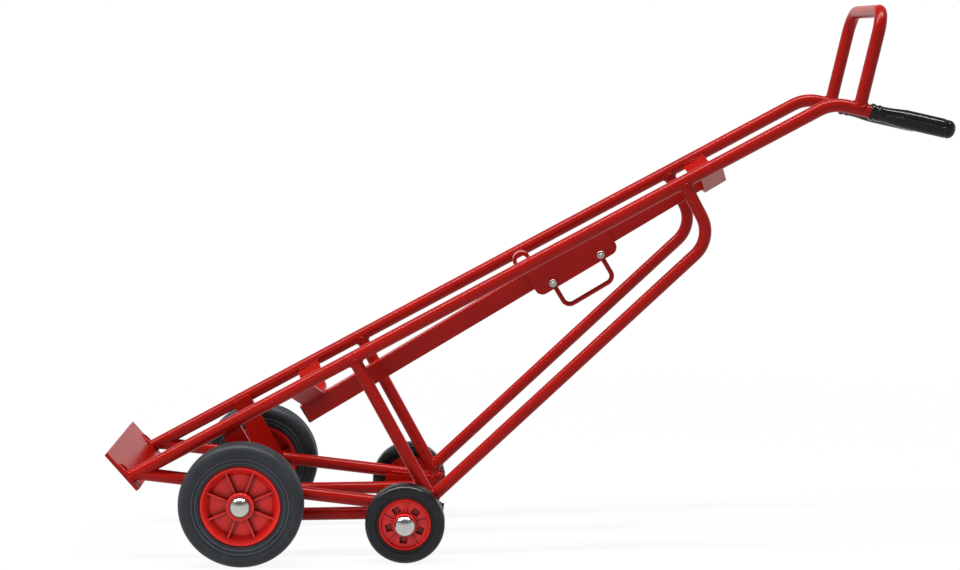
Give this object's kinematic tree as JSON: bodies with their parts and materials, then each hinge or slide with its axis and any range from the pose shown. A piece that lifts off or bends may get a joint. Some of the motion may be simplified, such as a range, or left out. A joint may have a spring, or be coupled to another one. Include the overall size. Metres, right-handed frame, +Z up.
{
  "type": "drum trolley",
  "caption": "Tubular drum trolley: sloping side rails over wheel pairs, a splayed toe plate, rear handles with a loop, and a sliding hook that clamps the drum's rim.",
  "frame": {"origin": "on the floor under the middle of the trolley's overall length and width, with all wheels on the floor", "axes": "+X from the toe plate towards the grips, +Y from the left side to the right side as seen by a person at the grips, +Z up"},
  "size_m": [1.7136, 0.5276, 1.1003],
  "materials": {
    "red_paint": "gloss powder coat, signal red",
    "rim_plastic": "moulded red plastic",
    "tyre": "black solid rubber",
    "grip_black": "black moulded grip",
    "plug_black": "black plastic plug",
    "bush_steel": "plain steel",
    "axle_steel": "bright steel",
    "cap_steel": "bright pressed steel",
    "zinc": "zinc plated"
  },
  "bodies": {
    "frame": {"axle_plate_left": "red_paint", "axle_plate_right": "red_paint", "brace_left": "red_paint", "brace_plug_left": "plug_black", "brace_plug_right": "plug_black", "brace_right": "red_paint", "front_axle": "axle_steel", "front_cap_left": "cap_steel", "front_cap_right": "cap_steel", "front_collars": "axle_steel", "front_washers": "zinc", "grip_left": "grip_black", "grip_right": "grip_black", "gusset_left": "red_paint", "gusset_right": "red_paint", "loop_handle": "red_paint", "rail_left": "red_paint", "rail_right": "red_paint", "rear_axle": "axle_steel", "rear_cap_left": "cap_steel", "rear_cap_right": "cap_steel", "rear_collars": "axle_steel", "rear_washers": "zinc", "saddle_lower": "red_paint", "saddle_upper": "red_paint", "slide_cap_lower": "plug_black", "slide_cap_upper": "plug_black", "slide_rail": "red_paint", "stay_left": "red_paint", "stay_right": "red_paint", "strut_left": "red_paint", "strut_right": "red_paint", "tie_left": "red_paint", "tie_right": "red_paint", "toe_plate": "red_paint"},
    "carriage": {"carriage_shell": "red_paint", "hook": "red_paint", "carriage_bolts": "zinc", "carriage_nuts": "zinc", "carriage_washers": "zinc", "carriage_sleeves": "zinc", "bail": "red_paint"},
    "wheel_front_left": {"tyre_front_left": "tyre", "rim_front_left": "rim_plastic", "bush_front_left": "bush_steel"},
    "wheel_front_right": {"tyre_front_right": "tyre", "rim_front_right": "rim_plastic", "bush_front_right": "bush_steel"},
    "wheel_rear_left": {"tyre_rear_left": "tyre", "rim_rear_left": "rim_plastic", "bush_rear_left": "bush_steel"},
    "wheel_rear_right": {"tyre_rear_right": "tyre", "rim_rear_right": "rim_plastic", "bush_rear_right": "bush_steel"}
  },
  "joints": [
    {"name": "front_left_wheel_spin", "type": "hinge", "parent": "frame", "child": "wheel_front_left", "pos_m": [-0.57896, -0.218, 0.125], "axis": [0, 1, 0], "continuous": true},
    {"name": "front_right_wheel_spin", "type": "hinge", "parent": "frame", "child": "wheel_front_right", "pos_m": [-0.57896, 0.218, 0.125], "axis": [0, 1, 0], "continuous": true},
    {"name": "rear_left_wheel_spin", "type": "hinge", "parent": "frame", "child": "wheel_rear_left", "pos_m": [-0.25256, -0.21, 0.08], "axis": [0, 1, 0], "continuous": true},
    {"name": "rear_right_wheel_spin", "type": "hinge", "parent": "frame", "child": "wheel_rear_right", "pos_m": [-0.25256, 0.21, 0.08], "axis": [0, 1, 0], "continuous": true},
    {"name": "carriage_slide", "type": "slide", "parent": "frame", "child": "carriage", "axis": [0.8647, 0, 0.5022], "range_m": [-0.475, 0.2]}
  ]
}
